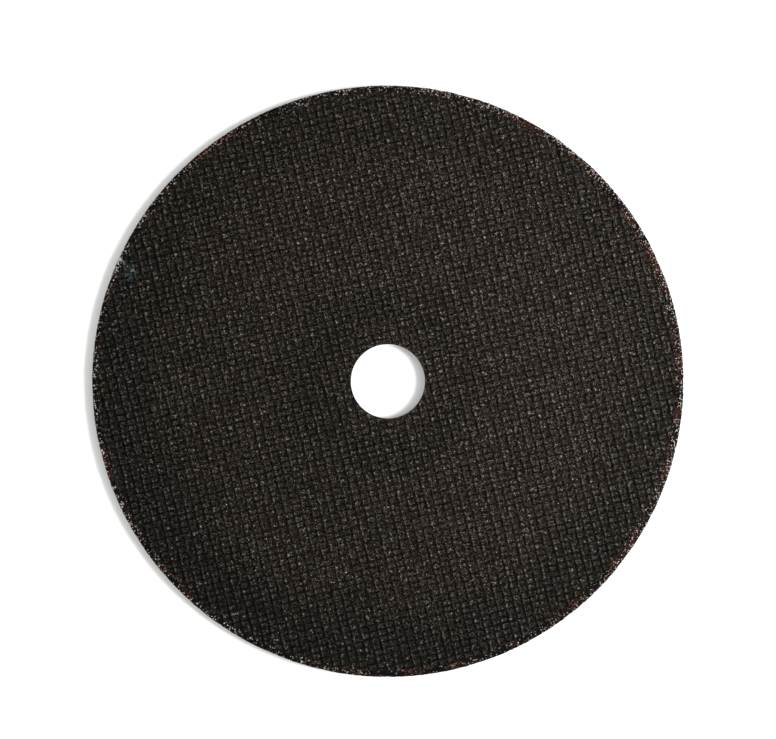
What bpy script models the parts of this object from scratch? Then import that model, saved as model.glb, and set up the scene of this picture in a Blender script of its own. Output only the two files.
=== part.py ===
"""Reinforced abrasive cutting disc, 178 x 3.2 x 22 mm, flat (type 41) form.

The disc is a laminate.  From the rear face to the front face it holds
facing cloth, glass mesh, bore patch, abrasive layer, centre glass mesh,
abrasive layer, bore patch, glass mesh and facing cloth.  Every ply is its own
solid.  Between neighbouring plies there is a thin bond line of resin, which
is left open as a gap.

Frame: metres, +Z up and out of the front face, origin on the disc's axis in
the plane of the rear face, so the disc lies on z = 0.
"""

import math

import bpy
import bmesh

# ---------------------------------------------------------------- dimensions
MM = 0.001

DISC_DIAMETER = 177.8 * MM      # nominal 7 inch wheel
BORE_DIAMETER = 22.3 * MM       # runs on a 22.23 mm (7/8 inch) flange boss
DISC_THICKNESS = 3.2 * MM       # nominal 1/8 inch

BOND_LINE = 0.02 * MM           # resin film left open between two plies
CLOTH_THICKNESS = 0.12 * MM     # facing cloth on each face
MESH_THICKNESS = 0.36 * MM      # outer glass meshes
CENTRE_MESH_THICKNESS = 0.40 * MM
PATCH_THICKNESS = 0.32 * MM     # doubled mesh round the bore
PATCH_RADIUS = 22.0 * MM
PATCH_CLEARANCE = 0.05 * MM     # between a patch's edge and its recess

RIM_RADIUS = DISC_DIAMETER / 2.0
BORE_RADIUS = BORE_DIAMETER / 2.0
CLOTH_SETBACK = 1.8 * MM        # how far the facing cloth stops short of the rim
MESH_SETBACK = 1.15 * MM        # how far the outer meshes stop short of the rim
CENTRE_MESH_SETBACK = 0.35 * MM
RIM_CHAMFER = 0.5 * MM          # crumbled corner of the abrasive at the rim

SEGMENTS = 96                   # steps round every turned ply

PARTS_COLLECTION = "cutting_disc"

# ----------------------------------------------------------------- materials
# name: (base colour, roughness, metallic)
MATERIALS = {
    "facing_cloth": ((0.020, 0.017, 0.014, 1.0), 0.62, 0.0),
    "glass_mesh": ((0.075, 0.048, 0.028, 1.0), 0.50, 0.0),
    "bore_patch": ((0.060, 0.042, 0.028, 1.0), 0.55, 0.0),
    "abrasive": ((0.032, 0.024, 0.020, 1.0), 0.72, 0.0),
}


def clear_scene():
    for obj in list(bpy.data.objects):
        bpy.data.objects.remove(obj, do_unlink=True)
    for block in (bpy.data.meshes, bpy.data.materials, bpy.data.collections):
        for item in list(block):
            block.remove(item)


def make_material(name, colour, roughness, metallic):
    mat = bpy.data.materials.new(name)
    mat.use_nodes = True
    bsdf = mat.node_tree.nodes["Principled BSDF"]
    bsdf.inputs["Base Color"].default_value = colour
    bsdf.inputs["Roughness"].default_value = roughness
    bsdf.inputs["Metallic"].default_value = metallic
    mat.diffuse_color = colour
    return mat


def make_collection(name):
    coll = bpy.data.collections.new(name)
    bpy.context.scene.collection.children.link(coll)
    return coll


def turned_ply(name, profile, material, collection):
    """Turn a closed (radius, height) outline about Z into one annular solid.

    The outline starts at the outer side's top and runs down it, then in along
    the lower face, up the bore and out along the upper face.
    """
    mesh = bpy.data.meshes.new(name)
    bm = bmesh.new()
    verts = [bm.verts.new((radius, 0.0, height)) for radius, height in profile]
    for i, vert in enumerate(verts):
        bm.edges.new((vert, verts[(i + 1) % len(verts)]))
    bm.to_mesh(mesh)
    bm.free()

    obj = bpy.data.objects.new(name, mesh)
    collection.objects.link(obj)
    screw = obj.modifiers.new("turn", "SCREW")
    screw.axis = "Z"
    screw.angle = 2.0 * math.pi
    screw.screw_offset = 0.0
    screw.steps = SEGMENTS
    screw.render_steps = SEGMENTS
    screw.use_merge_vertices = True
    screw.merge_threshold = 0.000001

    # the turned result becomes the object's own mesh, shaded smooth round it
    bpy.context.view_layer.update()
    depsgraph = bpy.context.evaluated_depsgraph_get()
    turned = bpy.data.meshes.new_from_object(obj.evaluated_get(depsgraph))
    obj.modifiers.clear()
    obj.data = turned
    bpy.data.meshes.remove(mesh)
    turned.name = name
    turned.shade_smooth()
    turned.set_sharp_from_angle(angle=math.radians(30.0))
    turned.materials.clear()
    turned.materials.append(material)
    return obj


def plain_ring(outer, inner, low, high):
    """Outline of a flat ring with square edges."""
    return [(outer, high), (outer, low), (inner, low), (inner, high)]


def abrasive_front(low, high, recess_floor):
    """Outline of the front abrasive layer: chamfered rim, recess round the bore
    in its upper side for the bore patch."""
    recess = PATCH_RADIUS + PATCH_CLEARANCE
    return [
        (RIM_RADIUS - RIM_CHAMFER, high),
        (RIM_RADIUS, high - RIM_CHAMFER),
        (RIM_RADIUS, low),
        (BORE_RADIUS, low),
        (BORE_RADIUS, recess_floor),
        (recess, recess_floor),
        (recess, high),
    ]


def mirrored(profile):
    """The same outline turned over about the disc's mid plane.

    The order is reversed too, so that the outer side still runs downwards.
    """
    flipped = [(radius, DISC_THICKNESS - height) for radius, height in profile]
    return list(reversed(flipped))


def rotate_to_outer_top(profile):
    """Start an outline at the top of its outermost side."""
    top = max(
        range(len(profile)),
        key=lambda i: (round(profile[i][0], 7), profile[i][1]),
    )
    return profile[top:] + profile[:top]


def main():
    clear_scene()
    mats = {name: make_material(name, *spec) for name, spec in MATERIALS.items()}
    parts = make_collection(PARTS_COLLECTION)

    # heights of the front half's plies, from the front face down
    cloth_top = DISC_THICKNESS
    cloth_low = cloth_top - CLOTH_THICKNESS
    mesh_top = cloth_low - BOND_LINE
    mesh_low = mesh_top - MESH_THICKNESS
    layer_top = mesh_low - BOND_LINE
    patch_low = layer_top - PATCH_THICKNESS
    recess_floor = patch_low - BOND_LINE
    mid = DISC_THICKNESS / 2.0
    centre_top = mid + CENTRE_MESH_THICKNESS / 2.0
    layer_low = centre_top + BOND_LINE

    cloth = plain_ring(RIM_RADIUS - CLOTH_SETBACK, BORE_RADIUS, cloth_low, cloth_top)
    mesh = plain_ring(RIM_RADIUS - MESH_SETBACK, BORE_RADIUS, mesh_low, mesh_top)
    patch = plain_ring(PATCH_RADIUS, BORE_RADIUS, patch_low, layer_top)
    layer = abrasive_front(layer_low, layer_top, recess_floor)
    centre = plain_ring(
        RIM_RADIUS - CENTRE_MESH_SETBACK,
        BORE_RADIUS,
        DISC_THICKNESS - centre_top,
        centre_top,
    )

    front = [
        ("front_facing_cloth", cloth, "facing_cloth"),
        ("front_glass_mesh", mesh, "glass_mesh"),
        ("front_bore_patch", patch, "bore_patch"),
        ("front_abrasive_layer", layer, "abrasive"),
    ]
    for name, profile, slot in front:
        turned_ply(name, profile, mats[slot], parts)
        rear_name = name.replace("front_", "rear_")
        rear_profile = rotate_to_outer_top(mirrored(profile))
        turned_ply(rear_name, rear_profile, mats[slot], parts)
    turned_ply("centre_glass_mesh", centre, mats["glass_mesh"], parts)


main()
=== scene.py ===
"""Looks of the reinforced abrasive cutting disc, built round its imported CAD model."""

import math

import bpy
import numpy as np
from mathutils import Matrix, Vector


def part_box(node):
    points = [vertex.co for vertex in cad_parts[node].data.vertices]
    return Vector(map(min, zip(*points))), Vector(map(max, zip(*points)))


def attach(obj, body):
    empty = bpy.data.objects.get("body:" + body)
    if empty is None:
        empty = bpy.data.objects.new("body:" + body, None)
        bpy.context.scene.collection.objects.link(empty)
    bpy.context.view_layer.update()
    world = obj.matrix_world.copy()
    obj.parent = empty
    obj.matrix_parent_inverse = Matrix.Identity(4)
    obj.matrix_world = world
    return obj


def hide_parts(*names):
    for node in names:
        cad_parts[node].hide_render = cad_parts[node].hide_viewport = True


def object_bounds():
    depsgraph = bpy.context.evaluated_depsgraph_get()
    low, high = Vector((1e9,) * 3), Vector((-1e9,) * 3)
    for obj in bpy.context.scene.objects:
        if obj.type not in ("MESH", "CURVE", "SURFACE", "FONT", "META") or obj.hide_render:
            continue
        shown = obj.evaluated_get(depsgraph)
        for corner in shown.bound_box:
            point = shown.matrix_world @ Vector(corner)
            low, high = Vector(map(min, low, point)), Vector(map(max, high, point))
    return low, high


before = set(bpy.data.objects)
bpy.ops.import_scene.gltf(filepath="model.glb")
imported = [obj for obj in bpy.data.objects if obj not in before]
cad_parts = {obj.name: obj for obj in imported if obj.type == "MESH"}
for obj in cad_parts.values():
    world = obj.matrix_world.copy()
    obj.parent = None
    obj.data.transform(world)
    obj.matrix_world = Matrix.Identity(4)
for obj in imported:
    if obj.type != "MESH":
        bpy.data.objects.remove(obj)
CAD_LO, CAD_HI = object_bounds()

MM = 0.001
TAU = 2.0 * math.pi

# ------------------------------------------------------------------ dimensions (mm)
R_OUT = CAD_HI.x / MM                                   # rim of the abrasive
THICK = CAD_HI.z / MM                                   # whole disc
R_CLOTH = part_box("front_facing_cloth")[1].x / MM        # edge of the facing cloth
R_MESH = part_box("front_glass_mesh")[1].x / MM
R_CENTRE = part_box("centre_glass_mesh")[1].x / MM
R_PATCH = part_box("front_bore_patch")[1].x / MM
R_BORE = 11.15
Z_LAYER_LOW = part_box("front_abrasive_layer")[0].z / MM  # underside of the front layer

# weave of the glass mesh: cycles per mm across the yarns, in the plane of the disc
MESH_U = np.array([0.37211, 0.09580])     # pairs of warp yarns, one pair each 2.60 mm
MESH_V = np.array([0.13650, -0.51665])    # weft yarns, one each 1.87 mm
# weave of the facing cloth
CLOTH_U = np.array([0.55998, -0.03139])   # threads each 1.78 mm
CLOTH_V = np.array([0.06891, 0.65692])    # threads each 1.51 mm


def cloth_edge(angle):
    """Where the facing cloth was cut, a little out of centre with the rim (mm)."""
    return R_CLOTH - 0.30 - 0.42 * np.cos(angle + 0.15)


# ------------------------------------------------------------------ noise
class Noise:
    """Smooth random surface, the same each run: random values on a square grid."""

    def __init__(self, seed, n=256):
        self.n = n
        self.t = np.random.default_rng(seed).uniform(-1.0, 1.0, (n, n))

    def __call__(self, x, y, size):
        """Value from -1 to 1 at x, y (mm), with features about size mm across."""
        u, v = np.asarray(x) / size, np.asarray(y) / size
        i, j = np.floor(u).astype(int), np.floor(v).astype(int)
        fu, fv = u - i, v - j
        fu, fv = fu * fu * (3 - 2 * fu), fv * fv * (3 - 2 * fv)
        n, t = self.n, self.t
        a, b = t[i % n, j % n], t[(i + 1) % n, j % n]
        c, d = t[i % n, (j + 1) % n], t[(i + 1) % n, (j + 1) % n]
        return (a * (1 - fu) + b * fu) * (1 - fv) + (c * (1 - fu) + d * fu) * fv


def per_cell(i, j, seed, n=211):
    """A random value from -1 to 1 for each cell of a weave."""
    t = np.random.default_rng(seed).uniform(-1.0, 1.0, (n, n))
    return t[i.astype(int) % n, j.astype(int) % n]


def smooth(lo, hi, x):
    t = np.clip((x - lo) / (hi - lo), 0.0, 1.0)
    return t * t * (3 - 2 * t)


def window(x, lo, hi, edge):
    """1 between lo and hi, 0 outside, with soft edges; x is a phase and wraps at 1."""
    d = np.abs((x - (lo + hi) / 2 + 0.5) % 1.0 - 0.5)
    return 1.0 - smooth((hi - lo) / 2 - edge / 2, (hi - lo) / 2 + edge / 2, d)


# ------------------------------------------------------------------ the weave's relief
TOP = -0.02                               # crest of the ridges below the front plane


def relief(x, y, seed):
    """Height (mm below the front plane) of the pressed face at x, y (mm), with the four
    phases of its two weaves."""
    n1, n2, n3, n4 = (Noise(seed + k) for k in range(4))
    # the yarns wander a little
    wu = 0.04 * n1(x, y, 9.0) + 0.050 * n2(x, y, 2.4)
    wv = 0.04 * n2(y, x, 8.0) + 0.055 * n1(y, x, 2.2)
    pa = MESH_U[0] * x + MESH_U[1] * y + wu
    pb = MESH_V[0] * x + MESH_V[1] * y + wv
    a, b = pa % 1.0, pb % 1.0
    ia, ib = np.floor(pa - 0.47), np.floor(pb - 0.24)
    c1 = per_cell(ia, ib, seed + 10)
    c2 = per_cell(ia, ib, seed + 11)
    c3 = per_cell(ia, ib, seed + 12)
    row = window(b, 0.40 + 0.02 * c3, 1.08, 0.17)
    # a raised yarn, its crest at 0.76, with a lower flat pad beside it
    d = (a - 0.76 + 0.5) % 1.0 - 0.5
    left = smooth(-0.29, -0.02, d)
    right = 1.0 - smooth(0.02, 0.27, d)
    crest = np.where(d < 0, left, right)
    pad = window(a, 0.00, 0.47 + 0.02 * c2, 0.10)
    body = np.maximum(crest * (0.97 + 0.06 * c1), 0.52 * pad * (1.0 + 0.10 * c2))
    h = 0.24 * body * (0.30 + 0.70 * row)
    # the finer cloth over it
    pc = CLOTH_U[0] * x + CLOTH_U[1] * y + 0.04 * n3(x, y, 7.0) + 0.03 * n1(x, y, 2.2)
    pe = CLOTH_V[0] * x + CLOTH_V[1] * y + 0.04 * n4(x, y, 7.0) + 0.03 * n2(x, y, 2.2)
    cloth = 0.55 * np.cos(TAU * (pc - 0.74)) + 0.45 * np.cos(TAU * (pe - 0.55))
    h += 0.018 * cloth
    # resin blisters and grit showing through
    h += 0.014 * n3(x, y, 0.95) + 0.018 * n4(x, y, 0.55) + 0.024 * n1(x, y, 0.38)
    h += 0.012 * n2(x, y, 5.0)
    h = np.clip(h - 0.27, -0.31, TOP)
    return h, (pa, pb, pc, pe)


def build_mesh(name, verts, quads=None, tris=None, attributes=None, smooth_faces=True, sharp=None):
    """A mesh object from arrays: verts in mm, faces as index arrays, turned to face out."""
    me = bpy.data.meshes.new(name)
    v = np.asarray(verts, float)
    volume = 0.0
    for faces, k in ((quads, 4), (tris, 3)):
        if faces is not None and len(faces):
            f = np.asarray(faces)
            for j in range(1, k - 1):
                a, b, c = v[f[:, 0]], v[f[:, j]], v[f[:, j + 1]]
                volume += np.einsum("ij,ij->", a, np.cross(b, c))
    if volume < 0:
        quads = None if quads is None else np.asarray(quads)[:, ::-1]
        tris = None if tris is None else np.asarray(tris)[:, ::-1]
    parts, totals = [], []
    for faces, k in ((quads, 4), (tris, 3)):
        if faces is not None and len(faces):
            parts.append(np.asarray(faces, np.int32).ravel())
            totals.append(np.full(len(faces), k, np.int32))
    loops = np.concatenate(parts)
    totals = np.concatenate(totals)
    starts = np.concatenate([[0], np.cumsum(totals)[:-1]]).astype(np.int32)
    me.vertices.add(len(verts))
    me.vertices.foreach_set("co", (np.asarray(verts, float) * MM).astype(np.float32).ravel())
    me.loops.add(len(loops))
    me.loops.foreach_set("vertex_index", loops)
    me.polygons.add(len(totals))
    me.polygons.foreach_set("loop_start", starts)
    me.polygons.foreach_set("use_smooth", np.full(len(totals), smooth_faces))
    for key, values in (attributes or {}).items():
        at = me.attributes.new(key, "FLOAT", "POINT")
        at.data.foreach_set("value", np.asarray(values, np.float32))
    me.update(calc_edges=True)
    me.validate()
    if sharp:
        me.set_sharp_from_angle(angle=math.radians(sharp))
    ob = bpy.data.objects.new(name, me)
    bpy.context.scene.collection.objects.link(ob)
    return ob


def boundary_loops(quads):
    """Closed loops of directed boundary edges of a quad sheet."""
    q = np.asarray(quads)
    e = np.concatenate([q[:, [k, (k + 1) % 4]] for k in range(4)])
    big = int(q.max()) + 1
    key = e[:, 0].astype(np.int64) * big + e[:, 1]
    rev = e[:, 1].astype(np.int64) * big + e[:, 0]
    out = e[~np.isin(key, rev)]
    nxt = {}
    for s, t in out:
        nxt.setdefault(int(s), []).append(int(t))
    loops = []
    while nxt:
        s = next(iter(nxt))
        loop = [s]
        while True:
            cur = loop[-1]
            t = nxt[cur].pop()
            if not nxt[cur]:
                del nxt[cur]
            if t == s:
                break
            loop.append(t)
        loops.append(np.array(loop))
    return loops


def zipper(loop_a, ang_a, loop_b, ang_b):
    """Triangles between two loops that run the same way round, walked by angle."""
    def start(loop, ang):
        k = int(np.argmin(ang))
        return np.roll(loop, -k), np.roll(ang, -k)

    la, aa = start(loop_a, ang_a)
    lb, ab = start(loop_b, ang_b)
    aa = np.concatenate([aa, [aa[0] + TAU]])
    ab = np.concatenate([ab, [ab[0] + TAU]])
    la, lb = np.concatenate([la, la[:1]]), np.concatenate([lb, lb[:1]])
    tris, i, j = [], 0, 0
    while i < len(la) - 1 or j < len(lb) - 1:
        if j >= len(lb) - 1 or (i < len(la) - 1 and aa[i + 1] <= ab[j + 1]):
            tris.append((la[i], la[i + 1], lb[j]))
            i += 1
        else:
            tris.append((la[i], lb[j + 1], lb[j]))
            j += 1
    return tris


# phases at which the face is divided, close together where the relief is steep
STEPS_U = np.array([0.03, 0.24, 0.44, 0.56, 0.67, 0.78, 0.91])
STEPS_V = np.array([0.12, 0.27, 0.40, 0.60, 0.90])


def pressed_face(names, seed, side, splits):
    """The facing cloth of one face, in rings that meet along the weave's own lines.

    side +1 is the front face and -1 the rear one, which is the same turned over.
    """
    m = np.linalg.inv(np.stack([MESH_U, MESH_V]))
    reach_u = int(R_OUT * np.linalg.norm(MESH_U)) + 2
    reach_v = int(R_OUT * np.linalg.norm(MESH_V)) + 2
    pu = (np.arange(-reach_u, reach_u)[:, None] + STEPS_U).ravel()
    pv = (np.arange(-reach_v, reach_v)[:, None] + STEPS_V).ravel()
    U, V = np.meshgrid(pu, pv, indexing="ij")
    nu, nv = U.shape
    rng = np.random.default_rng(seed + 50)
    U = U + rng.uniform(-0.018, 0.018, U.shape)
    V = V + rng.uniform(-0.022, 0.022, V.shape)
    X = m[0, 0] * U + m[0, 1] * V
    Y = m[1, 0] * U + m[1, 1] * V
    idx = np.arange(nu * nv).reshape(nu, nv)
    quads = np.stack(
        [idx[:-1, :-1], idx[1:, :-1], idx[1:, 1:], idx[:-1, 1:]], -1
    ).reshape(-1, 4)
    x, y = X.ravel().copy(), Y.ravel().copy()
    # orient the quads to face up
    q0 = quads[0]
    area = (x[q0[1]] - x[q0[0]]) * (y[q0[3]] - y[q0[0]]) - (y[q0[1]] - y[q0[0]]) * (
        x[q0[3]] - x[q0[0]]
    )
    if area < 0:
        quads = quads[:, ::-1]
    rc = np.hypot(x[quads].mean(1), y[quads].mean(1))
    cut = cloth_edge(np.arctan2(y[quads].mean(1), x[quads].mean(1)))
    inside = (rc < cut) & (rc > R_BORE)
    sheet = quads[inside]
    # the sheet's own edges are pulled on to the cut circles
    for loop in boundary_loops(sheet):
        r = np.hypot(x[loop], y[loop])
        th = np.arctan2(y[loop], x[loop])
        n = Noise(seed + 60)
        if r.mean() > (R_CLOTH + R_BORE) / 2:
            target = cloth_edge(th) + 0.16 * n(th * 87, 0 * th, 1.9) + 0.14 * n(th * 87, 9 + 0 * th, 0.6)
        else:
            target = R_BORE + 0.09 + 0.02 * n(th * 11, 4 + 0 * th, 0.8)
        x[loop], y[loop] = target * np.cos(th), target * np.sin(th)
    h, phases = relief(x, y, seed)
    r = np.hypot(x, y)
    h = h - 0.08 * smooth(-0.6, 0.2, r - cloth_edge(np.arctan2(y, x)))
    h = np.maximum(h, -0.31)
    base = THICK - 0.34                               # flat underside of the cloth
    edges = [R_BORE - 1] + list(splits) + [R_OUT]
    objs = []
    rcs = rc[inside]
    for name, lo, hi in zip(names, edges[:-1], edges[1:]):
        part = sheet[(rcs >= lo) & (rcs < hi)]
        used, inv = np.unique(part, return_inverse=True)
        part = inv.reshape(part.shape)
        px, py, pz = x[used], y[used], THICK + h[used]
        ph = np.stack(phases)[:, used]
        loops = boundary_loops(part)
        n_top = len(used)
        vx, vy, vz, vw = [px], [py], [pz], [ph]
        walls, count, low_loops = [], n_top, []
        for loop in loops:
            low = np.arange(count, count + len(loop))
            count += len(loop)
            vx.append(px[loop])
            vy.append(py[loop])
            vz.append(np.full(len(loop), base))
            vw.append(ph[:, loop])
            nxt, nlow = np.roll(loop, -1), np.roll(low, -1)
            walls.append(np.stack([nxt, loop, low, nlow], -1))
            low_loops.append(low)
        X2, Y2 = np.concatenate(vx), np.concatenate(vy)
        Z2, W2 = np.concatenate(vz), np.concatenate(vw, axis=1)
        rl = [np.hypot(X2[l], Y2[l]).mean() for l in low_loops]
        k_out, k_in = int(np.argmax(rl)), int(np.argmin(rl))

        def ccw(loop):
            t = np.unwrap(np.arctan2(Y2[loop], X2[loop]))
            loop = loop if t[-1] > t[0] else loop[::-1]
            return loop, np.arctan2(Y2[loop], X2[loop])

        lo_o, an_o = ccw(low_loops[k_out])
        lo_i, an_i = ccw(low_loops[k_in])
        tris = np.array(zipper(lo_o, an_o, lo_i, an_i))
        # face the underside down
        a_, b_, c_ = tris[len(tris) // 2]
        turn = (X2[b_] - X2[a_]) * (Y2[c_] - Y2[a_]) - (Y2[b_] - Y2[a_]) * (X2[c_] - X2[a_])
        if turn > 0:
            tris = tris[:, ::-1]
        quads_all = np.concatenate([part] + walls)
        if side < 0:
            Y2, Z2 = -Y2, THICK - Z2
        ob = build_mesh(
            name,
            np.stack([X2, Y2, Z2], -1),
            quads_all,
            tris,
            dict(zip(("pa", "pb", "pc", "pe"), W2)),
            sharp=62.0,
        )
        objs.append(ob)
    return objs


# ------------------------------------------------------------------ node helpers
class Nodes:
    """Small helper that strings shader nodes together."""

    def __init__(self, name):
        self.mat = bpy.data.materials.new(name)
        self.mat.use_nodes = True
        self.nt = self.mat.node_tree
        self.nt.nodes.clear()
        self.out = self.nt.nodes.new("ShaderNodeOutputMaterial")
        self.bsdf = self.nt.nodes.new("ShaderNodeBsdfPrincipled")
        self.nt.links.new(self.bsdf.outputs[0], self.out.inputs[0])
        tc = self.nt.nodes.new("ShaderNodeTexCoord")
        self.p = self.scaled(tc.outputs["Object"], 1000.0)    # position in mm

    def link(self, a, b):
        self.nt.links.new(a, b)

    def set(self, socket, value):
        if hasattr(value, "links"):
            self.link(value, socket)
        else:
            socket.default_value = value

    def scaled(self, vec, k):
        n = self.nt.nodes.new("ShaderNodeVectorMath")
        n.operation = "SCALE"
        self.link(vec, n.inputs[0])
        n.inputs["Scale"].default_value = k
        return n.outputs[0]

    def math(self, op, a, b=0.0, c=0.0, clamp=False):
        n = self.nt.nodes.new("ShaderNodeMath")
        n.operation = op
        n.use_clamp = clamp
        for s, v in zip(n.inputs, (a, b, c)):
            self.set(s, v)
        return n.outputs[0]

    def attr(self, name):
        n = self.nt.nodes.new("ShaderNodeAttribute")
        n.attribute_name = name
        return n.outputs["Fac"]

    def noise(self, size, detail=2.0, rough=0.5, offset=0.0, vec=None):
        """Noise with features about size mm across; 0 to 1, mean 0.5."""
        n = self.nt.nodes.new("ShaderNodeTexNoise")
        n.inputs["Scale"].default_value = 1.0 / size
        n.inputs["Detail"].default_value = detail
        n.inputs["Roughness"].default_value = rough
        v = vec or self.p
        if offset:
            m = self.nt.nodes.new("ShaderNodeVectorMath")
            m.operation = "ADD"
            self.link(v, m.inputs[0])
            m.inputs[1].default_value = (offset, offset * 0.7, offset * 0.3)
            v = m.outputs[0]
        self.link(v, n.inputs["Vector"])
        return n.outputs["Fac"]

    def cells(self, size, offset=0.0, feature="F1", out="Color"):
        n = self.nt.nodes.new("ShaderNodeTexVoronoi")
        n.feature = feature
        n.inputs["Scale"].default_value = 1.0 / size
        m = self.nt.nodes.new("ShaderNodeVectorMath")
        m.operation = "ADD"
        self.link(self.p, m.inputs[0])
        m.inputs[1].default_value = (offset, offset * 0.6, offset * 0.2)
        self.link(m.outputs[0], n.inputs["Vector"])
        return n.outputs[out]

    def channel(self, colour, k):
        n = self.nt.nodes.new("ShaderNodeSeparateColor")
        self.link(colour, n.inputs[0])
        return n.outputs[k]

    def ramp(self, fac, stops):
        n = self.nt.nodes.new("ShaderNodeValToRGB")
        el = n.color_ramp.elements
        while len(el) > 1:
            el.remove(el[-1])
        el[0].position, el[0].color = stops[0][0], self.rgba(stops[0][1])
        for pos, col in stops[1:]:
            e = el.new(pos)
            e.color = self.rgba(col)
        self.link(fac, n.inputs[0])
        return n.outputs[0]

    @staticmethod
    def rgba(c):
        if isinstance(c, (int, float)):
            return (c, c, c, 1.0)
        return (*c, 1.0) if len(c) == 3 else tuple(c)

    def mix(self, fac, a, b, blend="MIX"):
        n = self.nt.nodes.new("ShaderNodeMix")
        n.data_type = "RGBA"
        n.blend_type = blend
        self.set(n.inputs[0], fac)
        for s, v in ((n.inputs[6], a), (n.inputs[7], b)):
            self.set(s, v if hasattr(v, "links") else self.rgba(v))
        return n.outputs[2]

    def step(self, value, lo, hi):
        """0 below lo, 1 above hi."""
        n = self.nt.nodes.new("ShaderNodeMapRange")
        n.interpolation_type = "SMOOTHSTEP"
        self.set(n.inputs["Value"], value)
        n.inputs["From Min"].default_value = lo
        n.inputs["From Max"].default_value = hi
        return n.outputs[0]

    def xy(self, k):
        """Coordinate k (0 for x, 1 for y, 2 for z) in mm."""
        s = self.nt.nodes.new("ShaderNodeSeparateXYZ")
        self.link(self.p, s.inputs[0])
        return s.outputs[k]

    def radius(self):
        """Distance from the disc's axis, in mm."""
        s = self.nt.nodes.new("ShaderNodeSeparateXYZ")
        self.link(self.p, s.inputs[0])
        xx = self.math("MULTIPLY", s.outputs[0], s.outputs[0])
        yy = self.math("MULTIPLY", s.outputs[1], s.outputs[1])
        return self.math("SQRT", self.math("ADD", xx, yy))

    def bump(self, height, strength, distance_mm, normal=None):
        n = self.nt.nodes.new("ShaderNodeBump")
        n.inputs["Strength"].default_value = strength
        n.inputs["Distance"].default_value = distance_mm * MM
        self.link(height, n.inputs["Height"])
        if normal is not None:
            self.link(normal, n.inputs["Normal"])
        return n.outputs[0]

    def finish(self, colour, roughness, specular=0.5, normal=None, metallic=0.0):
        b = self.bsdf
        self.set(b.inputs["Base Color"], colour)
        self.set(b.inputs["Roughness"], roughness)
        self.set(b.inputs["Specular IOR Level"], specular)
        b.inputs["Metallic"].default_value = metallic
        if normal is not None:
            self.link(normal, b.inputs["Normal"])
        return self.mat


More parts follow.
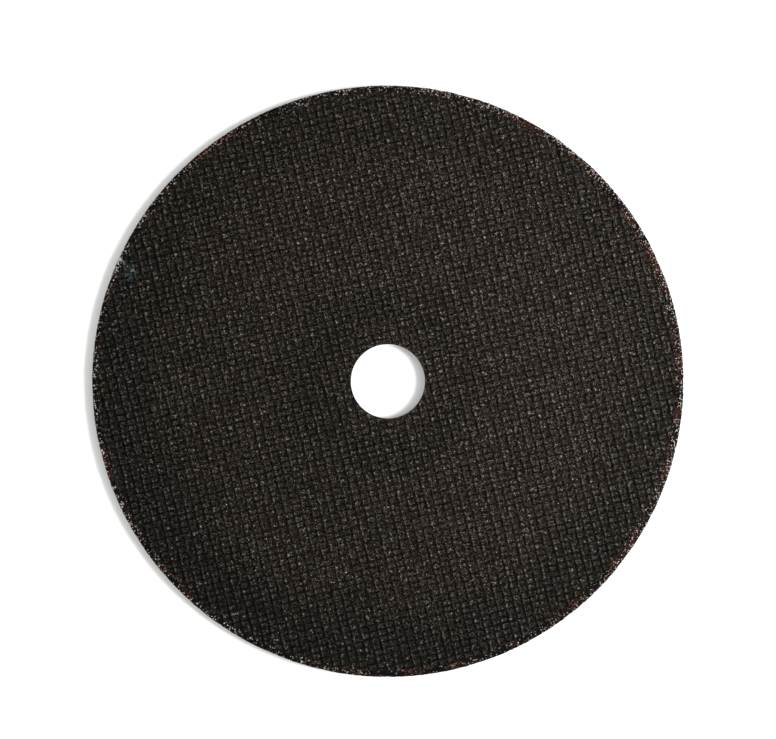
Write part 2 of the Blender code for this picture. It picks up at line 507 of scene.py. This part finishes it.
# ------------------------------------------------------------------ materials
def cloth_material():
    n = Nodes("facing_cloth_resin")
    r = n.radius()
    # phases of the two weaves, each with a ragged edge
    ragged = n.noise(0.8, 2.0, 0.6, 61.0)
    ragged2 = n.noise(0.8, 2.0, 0.6, 83.0)

    def phase(name, shift, amount, wobble):
        v = n.math("MULTIPLY_ADD", wobble, amount, n.attr(name))
        return n.math("SUBTRACT", v, shift + amount * 0.5)

    pa, pb = phase("pa", 0.0, 0.30, ragged), phase("pb", 0.0, 0.33, ragged2)
    a, b = n.math("FRACT", pa), n.math("FRACT", pb)
    # one random value for each pad of the mesh
    comb = n.nt.nodes.new("ShaderNodeCombineXYZ")
    n.link(n.math("FLOOR", n.math("SUBTRACT", pa, 0.47)), comb.inputs[0])
    n.link(n.math("FLOOR", n.math("SUBTRACT", pb, 0.24)), comb.inputs[1])
    white = n.nt.nodes.new("ShaderNodeTexWhiteNoise")
    white.noise_dimensions = "2D"
    n.link(comb.outputs[0], white.inputs["Vector"])
    each = n.ramp(white.outputs["Value"], [(0.0, 0.92), (0.5, 1.0), (1.0, 1.08)])

    mottle = n.noise(9.0, 3.0, 0.55)
    brown = n.ramp(
        mottle,
        [
            (0.30, (0.0056, 0.0039, 0.0028)),
            (0.50, (0.0067, 0.0044, 0.0030)),
            (0.72, (0.0079, 0.0049, 0.0034)),
        ],
    )
    # darker towards the edge (more so at the bottom) and in a ring round the flange seat; the face is also darker
    # towards the lower left, away from the key light: painted shade, standing in for the light falling off across the
    # face
    def facing(degrees):
        """Cosine of the angle between this point's direction and a given one."""
        t = math.radians(degrees)
        along = n.math("ADD", n.math("MULTIPLY", n.xy(0), math.cos(t)), n.math("MULTIPLY", n.xy(1), math.sin(t)))
        return n.math("DIVIDE", along, n.math("MAXIMUM", r, 1.0))

    outer = n.math("MULTIPLY", n.step(r, 62.0, 80.0), n.math("MULTIPLY_ADD", facing(73.0), -0.68, 1.5))
    # painted shade: darker on the side away from the key light
    painted_side_shade = n.math("MULTIPLY", n.step(r, 4.0, 24.0), n.math("MULTIPLY", facing(30.0), -0.50))
    ring = n.math("MULTIPLY_ADD", n.step(r, 16.5, 19.5), 0.7, n.math("MULTIPLY", n.step(r, 12.0, 13.5), 0.4))
    ring = n.math("MULTIPLY", ring, n.math("SUBTRACT", 1.0, n.step(r, 22.0, 34.0)))
    rings_and_painted_shade = n.math("ADD", n.math("ADD", outer, painted_side_shade), ring)
    fade = n.math("POWER", 0.80, rings_and_painted_shade)
    fade_r = n.math("POWER", 0.77, rings_and_painted_shade)
    shade = n.nt.nodes.new("ShaderNodeCombineColor")
    for socket, value in zip(shade.inputs, (fade_r, fade, fade)):
        n.set(socket, value)
    # the grooves between the raised yarns hold dark resin; besides, each yarn's flank turned away from the key light
    # and the grooves are darkened in the colour: painted shade
    warp_resin_and_shade = n.ramp(a, [(0.0, 1.0), (0.42, 1.0), (0.52, 0.45), (0.70, 0.36), (0.78, 1.0)])
    weft_resin_and_shade = n.ramp(b, [(0.0, 0.85), (0.10, 0.50), (0.20, 0.36), (0.30, 0.42), (0.42, 0.80), (0.54, 1.0), (0.88, 1.0)])
    # the flank of each raised yarn turned to the key light, made paler in the colour below: painted highlight; it also
    # sets the glossy resin there
    flank_gloss_and_highlight = n.math("MULTIPLY", n.ramp(a, [(0.77, 0.0), (0.83, 1.0), (0.92, 1.0), (0.97, 0.2), (1.0, 0.1)]), weft_resin_and_shade)
    groove_resin_and_shade = n.math("MINIMUM", warp_resin_and_shade, weft_resin_and_shade)
    filled = n.ramp(n.noise(1.3, 2.0, 0.5, 97.0), [(0.30, 0.85), (0.70, 1.15)])
    groove_resin_and_shade = n.math("POWER", groove_resin_and_shade, filled)
    # random glints on that flank, made paler in the colour: painted highlight
    glint = n.step(n.channel(n.cells(0.50, 41.0), 0), 0.62, 0.80)
    tone = n.math("MULTIPLY_ADD", glint, 0.75, 0.20)
    tone = n.math("MULTIPLY", groove_resin_and_shade, n.math("MULTIPLY_ADD", flank_gloss_and_highlight, tone, 1.0))
    tone = n.math("MULTIPLY", tone, each)
    # the finer cloth: its threads painted paler and darker across their width, painted shading of their relief
    thread_shading = n.math("MULTIPLY_ADD", n.math("COSINE", n.math("MULTIPLY", n.math("SUBTRACT", n.attr("pc"), 0.87), TAU)), 0.28, 1.0)
    thread_shading2 = n.math("MULTIPLY_ADD", n.math("COSINE", n.math("MULTIPLY", n.math("SUBTRACT", n.attr("pe"), 0.48), TAU)), 0.22, 1.0)
    tone = n.math("MULTIPLY", tone, n.math("MULTIPLY", thread_shading, thread_shading2))
    # grain of the resin and grit under it
    long = n.nt.nodes.new("ShaderNodeVectorMath")
    long.operation = "MULTIPLY"
    n.link(n.p, long.inputs[0])
    long.inputs[1].default_value = (1.5, 0.85, 1.0)
    g1 = n.math("SUBTRACT", n.noise(0.31, 1.0, 0.6, vec=long.outputs[0]), 0.5)
    g2 = n.math("SUBTRACT", n.channel(n.cells(0.25, 3.0), 0), 0.5)
    power = n.math("ADD", n.math("MULTIPLY", g1, 12.2), n.math("MULTIPLY", g2, 3.0))
    tone = n.math("MULTIPLY", tone, n.math("POWER", 2.718, power))
    # where the tone runs high the colour turns grey: painted highlight, neutral like a reflection of the lamp
    colour = n.mix(n.step(tone, 1.0, 4.0), brown, (0.0060, 0.0051, 0.0042))
    # the darker edge band, the flange ring and the painted side shade
    colour = n.mix(1.0, colour, shade.outputs[0], "MULTIPLY")
    colour = n.mix(1.0, colour, tone, "MULTIPLY")
    # a scuff near the rim of the front face: a bluish rub with paler scratches beside it
    def blot(cx, cy, rx, ry, size, offset, lo, hi):
        xyz = n.nt.nodes.new("ShaderNodeSeparateXYZ")
        n.link(n.p, xyz.inputs[0])
        dx = n.math("DIVIDE", n.math("SUBTRACT", xyz.outputs[0], cx), rx)
        dy = n.math("DIVIDE", n.math("SUBTRACT", xyz.outputs[1], cy), ry)
        d = n.math("SQRT", n.math("ADD", n.math("MULTIPLY", dx, dx), n.math("MULTIPLY", dy, dy)))
        near = n.math("SUBTRACT", 1.0, n.step(d, 0.35, 1.0))
        front = n.step(xyz.outputs[2], 1.0, 2.0)
        torn = n.step(n.noise(size, 2.0, 0.6, offset), lo, hi)
        return n.math("MULTIPLY", n.math("MULTIPLY", near, front), torn)

    rub = blot(-77.6, 32.8, 2.8, 3.8, 0.5, 53.0, 0.40, 0.56)
    colour = n.mix(n.math("MULTIPLY", rub, 0.9), colour, n.mix(1.0, (0.0095, 0.0155, 0.0175), tone, "MULTIPLY"))
    pale = blot(-79.6, 35.6, 1.0, 1.7, 0.4, 71.0, 0.48, 0.56)
    pale2 = blot(-76.65, 33.3, 0.75, 0.5, 0.4, 77.0, 0.15, 0.25)
    colour = n.mix(n.math("MULTIPLY", n.math("MAXIMUM", pale, pale2), 0.7), colour, (0.170, 0.145, 0.140))
    # sparse pale specks on the open weave: painted glints
    glint_speck = n.channel(n.cells(0.38, 23.0), 0)
    colour = n.mix(n.math("MULTIPLY", n.step(glint_speck, 0.989, 0.992), n.math("MULTIPLY", groove_resin_and_shade, 0.9)), colour, (0.150, 0.138, 0.127))
    # reddish specks in small clusters
    cluster = n.step(n.noise(4.0, 2.0, 0.5, 31.0), 0.58, 0.72)
    red = n.math("MULTIPLY", cluster, n.step(n.channel(n.cells(0.45, 11.0), 1), 0.60, 0.80))
    colour = n.mix(n.math("MULTIPLY", red, 0.5), colour, (0.026, 0.0105, 0.0085))
    rough = n.ramp(n.noise(0.6, 2.0, 0.6, 7.0), [(0.3, 0.32), (0.7, 0.56)])
    fine = n.noise(0.30, 3.0, 0.7, 17.0)
    normal = n.bump(fine, 0.9, 0.12)
    # resin left glossy on the flank of each raised yarn
    shine = n.math("MULTIPLY", groove_resin_and_shade, n.math("MULTIPLY_ADD", n.math("MULTIPLY", flank_gloss_and_highlight, glint), 0.40, 0.055))
    return n.finish(colour, rough, shine, normal)


def abrasive_material():
    n = Nodes("abrasive_grit_bond")
    cellc = n.cells(0.36, 5.0)
    pick = n.channel(cellc, 0)
    grains = n.ramp(
        pick,
        [
            (0.0, (0.0012, 0.0010, 0.0009)),
            (0.55, (0.0030, 0.0024, 0.0020)),
            (0.85, (0.008, 0.0065, 0.0055)),
            (0.93, (0.040, 0.034, 0.029)),
            (0.985, (0.20, 0.175, 0.16)),
        ],
    )
    patch = n.step(n.noise(6.0, 2.0, 0.5, 40.0), 0.48, 0.62)
    red = n.math("MULTIPLY", patch, n.step(n.channel(cellc, 1), 0.45, 0.60))
    inward = n.math("MULTIPLY_ADD", n.step(n.radius(), R_OUT - 1.1, R_OUT - 0.5), -0.65, 1.0)
    red = n.math("MULTIPLY", red, inward)
    colour = n.mix(n.math("MULTIPLY", red, 0.7), grains, (0.050, 0.016, 0.010))
    rough = n.ramp(n.channel(cellc, 2), [(0.0, 0.35), (1.0, 0.75)])
    depth = n.cells(0.36, 5.0, out="Distance")
    normal = n.bump(depth, 0.8, 0.10)
    normal = n.bump(n.noise(0.18, 2.0, 0.6, 3.0), 0.5, 0.04, normal)
    return n.finish(colour, rough, 0.03, normal)


def grain_material():
    n = Nodes("abrasive_grain")
    tint = n.attr("tint")
    colour = n.ramp(
        tint,
        [
            (0.00, (0.0012, 0.0010, 0.0009)),
            (0.40, (0.0032, 0.0026, 0.0021)),
            (0.64, (0.010, 0.0080, 0.0068)),
            (0.76, (0.070, 0.060, 0.053)),
            (0.88, (0.50, 0.47, 0.44)),
            (0.90, (0.080, 0.022, 0.013)),
            (0.96, (0.30, 0.110, 0.075)),
            (1.00, (0.62, 0.40, 0.33)),
        ],
    )
    colour = n.mix(1.0, colour, n.ramp(n.noise(0.15, 2.0, 0.6), [(0.3, 0.6), (0.7, 1.3)]), "MULTIPLY")
    rough = n.ramp(n.noise(0.2, 2.0, 0.5, 5.0), [(0.3, 0.20), (0.7, 0.50)])
    return n.finish(colour, rough, 0.03, n.bump(n.noise(0.12, 2.0, 0.6, 9.0), 0.4, 0.02))


def yarn_material():
    n = Nodes("resin_soaked_glass_yarn")
    along = n.attr("along")
    # fine filaments along the yarn, from its own lengthwise and crosswise coordinates
    cross = n.attr("cross")
    comb = n.nt.nodes.new("ShaderNodeCombineXYZ")
    n.set(comb.inputs[0], n.math("MULTIPLY", along, 0.15))
    n.set(comb.inputs[1], n.math("MULTIPLY", cross, 9.0))
    strand = n.nt.nodes.new("ShaderNodeTexNoise")
    strand.inputs["Scale"].default_value = 1.0
    strand.inputs["Detail"].default_value = 2.0
    n.link(comb.outputs[0], strand.inputs["Vector"])
    colour = n.ramp(
        strand.outputs["Fac"],
        [(0.30, (0.030, 0.017, 0.010)), (0.55, (0.070, 0.038, 0.020)), (0.75, (0.17, 0.115, 0.075))],
    )
    colour = n.mix(n.math("MULTIPLY", n.step(n.noise(3.0, 2.0, 0.5), 0.45, 0.65), 0.7), colour, (0.016, 0.012, 0.009))
    rough = n.ramp(n.noise(0.5, 2.0, 0.5, 2.0), [(0.3, 0.30), (0.7, 0.55)])
    return n.finish(colour, rough, 0.5, n.bump(strand.outputs["Fac"], 0.6, 0.03))


def floor_material():
    n = Nodes("plain_floor")
    c = n.ramp(n.noise(60.0, 2.0, 0.5), [(0.3, 0.86), (0.7, 0.88)])
    return n.finish(c, 0.85, 0.1)


CLOTH = cloth_material()
ABRASIVE = abrasive_material()
GRAIN = grain_material()
YARN = yarn_material()


def put(ob, mat, slot, *nodes):
    ob.data.materials.clear()
    ob.data.materials.append(mat)
    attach(ob, "root")
    if nodes:
        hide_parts(*nodes)
    return ob


# ------------------------------------------------------------------ the two pressed faces
SPLIT = 62.5
FRONT = pressed_face(("front_facing_cloth_outer", "front_facing_cloth_inner")[::-1], 100, 1, [SPLIT])
for ob in FRONT:
    put(ob, CLOTH, "facing_cloth", "front_facing_cloth")
REAR = pressed_face(("rear_facing_cloth_outer", "rear_facing_cloth_inner")[::-1], 300, -1, [SPLIT])
for ob in REAR:
    put(ob, CLOTH, "facing_cloth", "rear_facing_cloth")


# ------------------------------------------------------------------ abrasive layers
def abrasive_layer(name, seed, side):
    """One abrasive layer: a ring whose rim is crumbled, with pits and high grains."""
    n = 1680
    th = np.linspace(0.0, TAU, n, endpoint=False)
    low = Z_LAYER_LOW
    top = THICK - 0.86
    rim = [(R_CLOTH - 1.4, THICK - 0.42), (R_CLOTH - 0.45, THICK - 0.36)]
    steps = 8
    for k in range(steps + 1):                     # rounded-over corner of the rim
        t = k / steps
        a = t * math.pi / 2
        rim.append(
            (R_CLOTH - 0.15 + (R_OUT - R_CLOTH + 0.15) * math.sin(a) ** 0.9,
             THICK - 0.98 + 0.74 * math.cos(a) ** 0.85)
        )
    meet = THICK / 2 + 0.01                        # the two layers meet outside the centre mesh
    rim += [(R_OUT, THICK - 1.20), (R_OUT - 0.02, meet + 0.12), (R_OUT - 0.08, meet)]
    prof = [(R_BORE, low), (R_BORE, low + 0.4), (R_BORE + 0.04, THICK - 0.90)]
    prof += [(R_PATCH, top), (R_PATCH + 20, top)]
    k0 = len(prof)
    prof += rim
    k1 = len(prof)
    prof += [(R_CENTRE - 0.30, meet), (R_CENTRE - 0.55, low)]
    nz = Noise(seed)
    n2 = Noise(seed + 1)
    arc = th * R_OUT
    rows = []
    for k, (r, z) in enumerate(prof):
        rough = 0.0
        if k0 <= k < k1:
            rough = 1.0 if k < k1 - 1 else 0.4
        elif 0 < k < 4:
            rough = 0.25
        s = k * 0.31
        dr = nz(arc, s + 0 * th, 0.62) * 0.09 + n2(arc, s + 3 + 0 * th, 0.36) * 0.06
        dz = n2(arc, s + 7 + 0 * th, 0.55) * 0.09 + nz(arc, s + 11 + 0 * th, 0.36) * 0.05
        chip = np.clip(nz(arc, 50 + 0 * th, 4.5) - 0.35, 0, 1) * 0.35
        rr = r + rough * (dr - 0.05 - (chip if k >= k0 else 0.0))
        zz = z + rough * (dz if k0 <= k < k1 - 2 else 0.3 * dz * (k not in (0, k1 - 1)))
        if k >= k0:
            rr = np.minimum(rr, R_OUT)
        else:
            rr = np.maximum(rr, R_BORE)
        rows.append(np.stack([rr * np.cos(th), rr * np.sin(th), zz], -1))
    v = np.concatenate(rows)
    m = len(prof)
    i = np.arange(n)
    quads = []
    for k in range(m):
        k2 = (k + 1) % m
        j = (i + 1) % n
        quads.append(np.stack([k * n + i, k2 * n + i, k2 * n + j, k * n + j], -1))
    quads = np.concatenate(quads)
    if side < 0:
        v[:, 1] *= -1
        v[:, 2] = THICK - v[:, 2]
    return build_mesh(name, v, quads)


put(abrasive_layer("front_abrasive_body", 500, 1), ABRASIVE, "abrasive", "front_abrasive_layer")
put(abrasive_layer("rear_abrasive_body", 520, -1), ABRASIVE, "abrasive", "rear_abrasive_layer")


# ------------------------------------------------------------------ loose-looking grains
def grains(name, points, sizes, tint, seed):
    """Small angular grains, one eight-sided chip at each point."""
    rng = np.random.default_rng(seed)
    n = len(points)
    base = np.array(
        [(1, 0, 0), (-1, 0, 0), (0, 1, 0), (0, -1, 0), (0, 0, 1), (0, 0, -1)], float
    )
    faces = np.array(
        [(0, 2, 4), (2, 1, 4), (1, 3, 4), (3, 0, 4), (2, 0, 5), (1, 2, 5), (3, 1, 5), (0, 3, 5)]
    )
    q = rng.normal(size=(n, 4))
    q /= np.linalg.norm(q, axis=1)[:, None]
    w, x, y, z = q.T
    rot = np.stack(
        [
            np.stack([1 - 2 * (y * y + z * z), 2 * (x * y - z * w), 2 * (x * z + y * w)], -1),
            np.stack([2 * (x * y + z * w), 1 - 2 * (x * x + z * z), 2 * (y * z - x * w)], -1),
            np.stack([2 * (x * z - y * w), 2 * (y * z + x * w), 1 - 2 * (x * x + y * y)], -1),
        ],
        1,
    )
    shape = base[None] * rng.uniform(0.55, 1.25, (n, 6, 1))
    v = np.einsum("nij,nkj->nki", rot, shape) * sizes[:, None, None] + points[:, None, :]
    f = (faces[None] + 6 * np.arange(n)[:, None, None]).reshape(-1, 3)
    return build_mesh(
        name, v.reshape(-1, 3), None, f, {"tint": np.repeat(tint, 6)}, smooth_faces=False
    )


def face_grains(name, seed, side, relief_seed, count=8500):
    rng = np.random.default_rng(seed)
    r = np.sqrt(rng.uniform((R_BORE + 0.3) ** 2, (R_CLOTH - 0.9) ** 2, count))
    a = rng.uniform(0, TAU, count)
    x, y = r * np.cos(a), r * np.sin(a)
    h, _ = relief(x, y, relief_seed)
    keep = rng.uniform(size=count) < 0.25 + 0.75 * np.clip((h + 0.27) / 0.2, 0, 1)
    x, y, h = x[keep], y[keep], h[keep]
    size = rng.uniform(0.06, 0.14, len(x))
    z = THICK + h + rng.uniform(-0.03, 0.02, len(x))
    z = np.minimum(z, THICK - 1.25 * size)
    tint = rng.beta(2.6, 2.2, len(x)) * 0.84
    # pale broken fibres stand round the bore's edge
    k = 150
    fa = rng.uniform(0, TAU, k)
    fr = R_BORE + 0.16 + np.abs(rng.normal(0, 0.30, k))
    x, y = np.append(x, fr * np.cos(fa)), np.append(y, fr * np.sin(fa))
    z = np.append(z, np.full(k, THICK - 0.16))
    size = np.append(size, rng.uniform(0.07, 0.12, k))
    tint = np.append(tint, np.where(rng.uniform(size=k) < 0.45, rng.uniform(0.80, 0.88, k), 0.70))
    patch = Noise(seed + 5)(x, y, 6.0)
    red = (patch > 0.35) & (rng.uniform(size=len(x)) < 0.20)
    tint[red] = rng.uniform(0.66, 0.72, red.sum())
    if side < 0:
        y, z = -y, THICK - z
    return grains(name, np.stack([x, y, z], -1), size, tint, seed + 1)


def rim_height(r):
    """Height (mm) of the crumbled corner between the cloth's edge and the rim."""
    q = np.clip((r - (R_CLOTH - 0.15)) / (R_OUT - R_CLOTH + 0.15), 0.0, 1.0)
    a = np.arcsin(q ** (1 / 0.9))
    corner = THICK - 0.98 + 0.74 * np.maximum(np.cos(a), 0.0) ** 0.85
    shelf = THICK - 0.24 - 0.12 * np.clip((R_CLOTH - 0.15 - r) / 0.30, 0.0, 1.2)
    return np.where(r < R_CLOTH - 0.15, shelf, corner)


def rim_grains(name, seed, side, count=9500):
    rng = np.random.default_rng(seed)
    a = rng.uniform(0, TAU, count)
    cut = cloth_edge(a)
    t = rng.uniform(0.0, 1.0, count)
    r = cut + (R_OUT - cut) * np.sin(t * math.pi / 2) ** 0.95
    z = rim_height(np.minimum(r, R_OUT))
    size = rng.uniform(0.08, 0.18, count)
    tint = rng.beta(1.2, 3.0, count) * 0.72
    scuffed = (np.abs(a - math.radians(156.5)) < math.radians(1.3)) & (side > 0)
    # pale grains: most on the side turned to the key light, where they stand for its glints (painted highlight), some
    # on the opposite side, fewest at top and bottom, and many in the scuff
    pale = rng.uniform(size=count) * (1.6 - 0.7 * smooth(0.4, 0.9, r - cut)) < np.where(scuffed, 0.6, 0.03 + 0.20 * np.sqrt(np.maximum(np.cos(a - 0.39), 0.0)) + 0.14 * np.maximum(-np.cos(a - 0.20), 0.0))
    tint[pale] = rng.uniform(0.83, 0.88, pale.sum())
    size[pale] = rng.uniform(0.16, 0.30, pale.sum())
    size[pale & scuffed] += 0.05
    # reddish bond shows in stretches just outside the cloth; the cosine term puts more of it on the side turned to the
    # key light: partly painted light
    patch = Noise(seed + 5)(a * R_OUT, 0 * a, 9.0) + 0.6 * Noise(seed + 6)(a * R_OUT, 0 * a, 3.0)
    patch += 0.75 * np.cos(a - 0.1) - 0.20 - 0.45 * np.maximum(-np.sin(a), 0.0) ** 2
    inner = np.exp(-(((r - (cut + 0.62)) / 0.50) ** 2))
    red = rng.uniform(size=count) < np.clip(1.3 * patch + 0.05, 0, 0.65) * inner
    tint[red] = 0.90 + 0.10 * rng.uniform(size=red.sum()) ** 0.8
    size[red] = rng.uniform(0.10, 0.19, red.sum())
    r = np.minimum(r, R_OUT - 1.25 * size)
    z = np.minimum(z, THICK - 1.25 * size)
    x, y = r * np.cos(a), r * np.sin(a)
    if side < 0:
        y, z = -y, THICK - z
    return grains(name, np.stack([x, y, z], -1), size, tint, seed + 1)


put(face_grains("front_face_grit", 700, 1, 100), GRAIN, "abrasive")
put(rim_grains("front_rim_grit", 720, 1), GRAIN, "abrasive")
put(face_grains("rear_face_grit", 740, -1, 300), GRAIN, "abrasive")
put(rim_grains("rear_rim_grit", 760, -1), GRAIN, "abrasive")

# ------------------------------------------------------------------ woven glass meshes
def yarns(name, sets, z_mid, radius, inner, side, seed):
    """Yarns of a woven mesh cut to a ring, each a closed strand of lens-shaped section.

    Each set is (across, other, phase, width, height, rise): across is the wave vector that
    counts these yarns, other counts the ones they cross, and rise is how far they go over
    and under.
    """
    V, F, A, C = [], [], [], []
    count = 0
    wobble = Noise(seed)
    for across, other, phase, width, height, rise in sets:
        d = np.array([-across[1], across[0]]) / np.linalg.norm(across)
        n = across / np.linalg.norm(across)
        pitch = 1.0 / np.linalg.norm(across)
        step = 0.5 / abs(other @ d)
        reach = int(radius / pitch) + 2
        for k in range(-reach, reach + 1):
            off = (k + phase) * pitch
            if abs(off) > radius - 1.0:
                continue
            # cut so that both edges of the yarn stay inside the ring
            half = width / 2 + 0.10
            end = math.sqrt(max(radius**2 - (abs(off) + half) ** 2, 0.0))
            near = max(abs(off) - half, 0.0)
            if near < inner:
                gap = math.sqrt(inner**2 - near**2)
                spans = [(-end, -gap), (gap, end)]
            else:
                spans = [(-end, end)]
            for t0, t1 in spans:
                if t1 - t0 < 1.0:
                    continue
                # points where this yarn passes over or under the others, and the two ends
                base = (other @ (n * off)) % 1.0
                sgn = 1.0 if other @ d > 0 else -1.0
                first = math.ceil((t0 + 0.2) / step)
                t = np.arange(first, (t1 - 0.2) / step) * step
                t = np.concatenate([[t0], t, [t1 - 0.05 + 0.05 * math.cos(23 * off)]])
                p = n[None] * off + d[None] * t[:, None]
                ph = p @ other
                z = z_mid + rise * np.cos(math.pi * (ph - 0.74) + math.pi * k) * side
                lat = 0.09 * wobble(p[:, 0], p[:, 1], 6.0)
                p = p + n[None] * lat[:, None]
                m = len(t)
                ring = np.array([(width / 2, 0.0), (0.0, height / 2), (-width / 2, 0.0), (0.0, -height / 2)])
                vv = np.zeros((m, 4, 3))
                vv[:, :, :2] = p[:, None, :] + n[None, None] * ring[None, :, :1]
                vv[:, :, 2] = z[:, None] + ring[None, :, 1]
                idx = count + np.arange(m * 4).reshape(m, 4)
                f = np.concatenate(
                    [np.stack([idx[:-1, j], idx[:-1, (j + 1) % 4], idx[1:, (j + 1) % 4], idx[1:, j]], -1) for j in range(4)]
                    + [idx[:1, ::-1], idx[-1:, :]]
                )
                V.append(vv.reshape(-1, 3))
                F.append(f)
                A.append(np.repeat(t + 37.0 * k, 4))
                C.append(np.tile(np.array([1.0, 0.5, 0.0, 0.5]) * width + 3.1 * k, m))
                count += m * 4
    V, F = np.concatenate(V), np.concatenate(F)
    if side < 0:
        V[:, 1] *= -1
        V[:, 2] = THICK - V[:, 2]
    return build_mesh(name, V, F, None, {"along": np.concatenate(A), "cross": np.concatenate(C)})


Z_YARN = THICK - 0.34 - 0.20
for word, side, seed in (("front", 1, 900), ("rear", -1, 920)):
    warps = yarns(
        word + "_mesh_warp_yarns",
        [(MESH_U, MESH_V, 0.87, 0.62, 0.24, 0.07), (MESH_U, MESH_V, 0.25, 0.95, 0.20, -0.07)],
        Z_YARN, R_MESH + 0.55, R_BORE + 0.16, side, seed,
    )
    wefts = yarns(
        word + "_mesh_weft_yarns", [(MESH_V, MESH_U, 0.74, 0.95, 0.20, 0.06)],
        Z_YARN - 0.02, R_MESH + 0.45, R_BORE + 0.16, side, seed + 1,
    )
    put(warps, YARN, "glass_mesh", word + "_glass_mesh")
    put(wefts, YARN, "glass_mesh", word + "_glass_mesh")
    patch = yarns(
        word + "_patch_yarns",
        [(MESH_U * 0.8, MESH_V * 0.6, 0.3, 0.9, 0.15, 0.05), (MESH_V * 0.6, MESH_U * 0.8, 0.1, 0.9, 0.15, 0.05)],
        THICK - 0.74, R_PATCH - 0.3, R_BORE + 0.16, side, seed + 2,
    )
    put(patch, YARN, "bore_patch", word + "_bore_patch")
PITCH = 5.0
turn = math.radians(33.0)
CU = np.array([math.cos(turn), math.sin(turn)]) / PITCH
CV = np.array([-math.sin(turn), math.cos(turn)]) / PITCH
put(
    yarns(
        "centre_mesh_yarns",
        [(CU, CV, 0.45, 1.5, 0.18, 0.08), (CU, CV, 0.75, 1.1, 0.16, 0.08), (CV, CU, 0.5, 2.2, 0.18, 0.08)],
        THICK / 2, R_CENTRE - 0.9, R_BORE + 0.16, 1, 940,
    ),
    YARN, "glass_mesh", "centre_glass_mesh",
)

# ------------------------------------------------------------------ floor, light, camera
floor_mesh = bpy.data.meshes.new("floor")
s = 3.0
floor_mesh.from_pydata(
    [(-s, -s, -0.0002), (s, -s, -0.0002), (s, s, -0.0002), (-s, s, -0.0002)], [], [(0, 1, 2, 3)]
)
floor = bpy.data.objects.new("floor", floor_mesh)
bpy.context.scene.collection.objects.link(floor)
floor.data.materials.append(floor_material())


def area_light(name, azimuth, elevation, distance, width, height, power, spread, target, colour=(1, 1, 1)):
    data = bpy.data.lights.new(name, "AREA")
    data.spread = math.radians(spread)
    data.shape = "RECTANGLE"
    data.size, data.size_y = width, height
    data.energy = power
    data.color = colour
    ob = bpy.data.objects.new(name, data)
    a, e = math.radians(azimuth), math.radians(elevation)
    ob.location = (
        distance * math.cos(e) * math.cos(a),
        distance * math.cos(e) * math.sin(a),
        distance * math.sin(e),
    )
    ob.rotation_mode = "QUATERNION"
    ob.rotation_quaternion = (Vector(target) - ob.location).to_track_quat("-Z", "Y")
    bpy.context.scene.collection.objects.link(ob)
    return ob


area_light("key", -3.0, 38.5, 0.75, 0.38, 0.38, 0.87, 42.0, (0.13, 0.01, 0.0), (1.0, 0.99, 0.975))

world = bpy.data.worlds.new("studio")
world.use_nodes = True
wn = world.node_tree
bg = wn.nodes["Background"]
# a soft sky, brighter overhead than at the horizon
direction = wn.nodes.new("ShaderNodeTexCoord")
split = wn.nodes.new("ShaderNodeSeparateXYZ")
wn.links.new(direction.outputs["Generated"], split.inputs[0])
height = wn.nodes.new("ShaderNodeMapRange")
height.inputs["From Min"].default_value = 0.0
height.inputs["From Max"].default_value = 1.0
height.inputs["To Min"].default_value = 0.62
height.inputs["To Max"].default_value = 1.02
wn.links.new(split.outputs[2], height.inputs["Value"])
wn.links.new(height.outputs[0], bg.inputs[1])
bg.inputs[0].default_value = (1.0, 1.0, 0.98, 1.0)
bpy.context.scene.world = world

cam_data = bpy.data.cameras.new("camera")
cam_data.sensor_width = 36.0
cam_data.sensor_fit = "HORIZONTAL"
cam_data.lens = 100.0
cam_data.clip_start, cam_data.clip_end = 0.01, 20.0
cam = bpy.data.objects.new("camera", cam_data)
cam.location = (0.00002, 0.00354, 0.6500)
bpy.context.scene.collection.objects.link(cam)
bpy.context.scene.camera = cam

view = bpy.context.scene.view_settings
view.view_transform = "Standard"
view.look = "None"
view.exposure = 0.0
view.gamma = 1.0
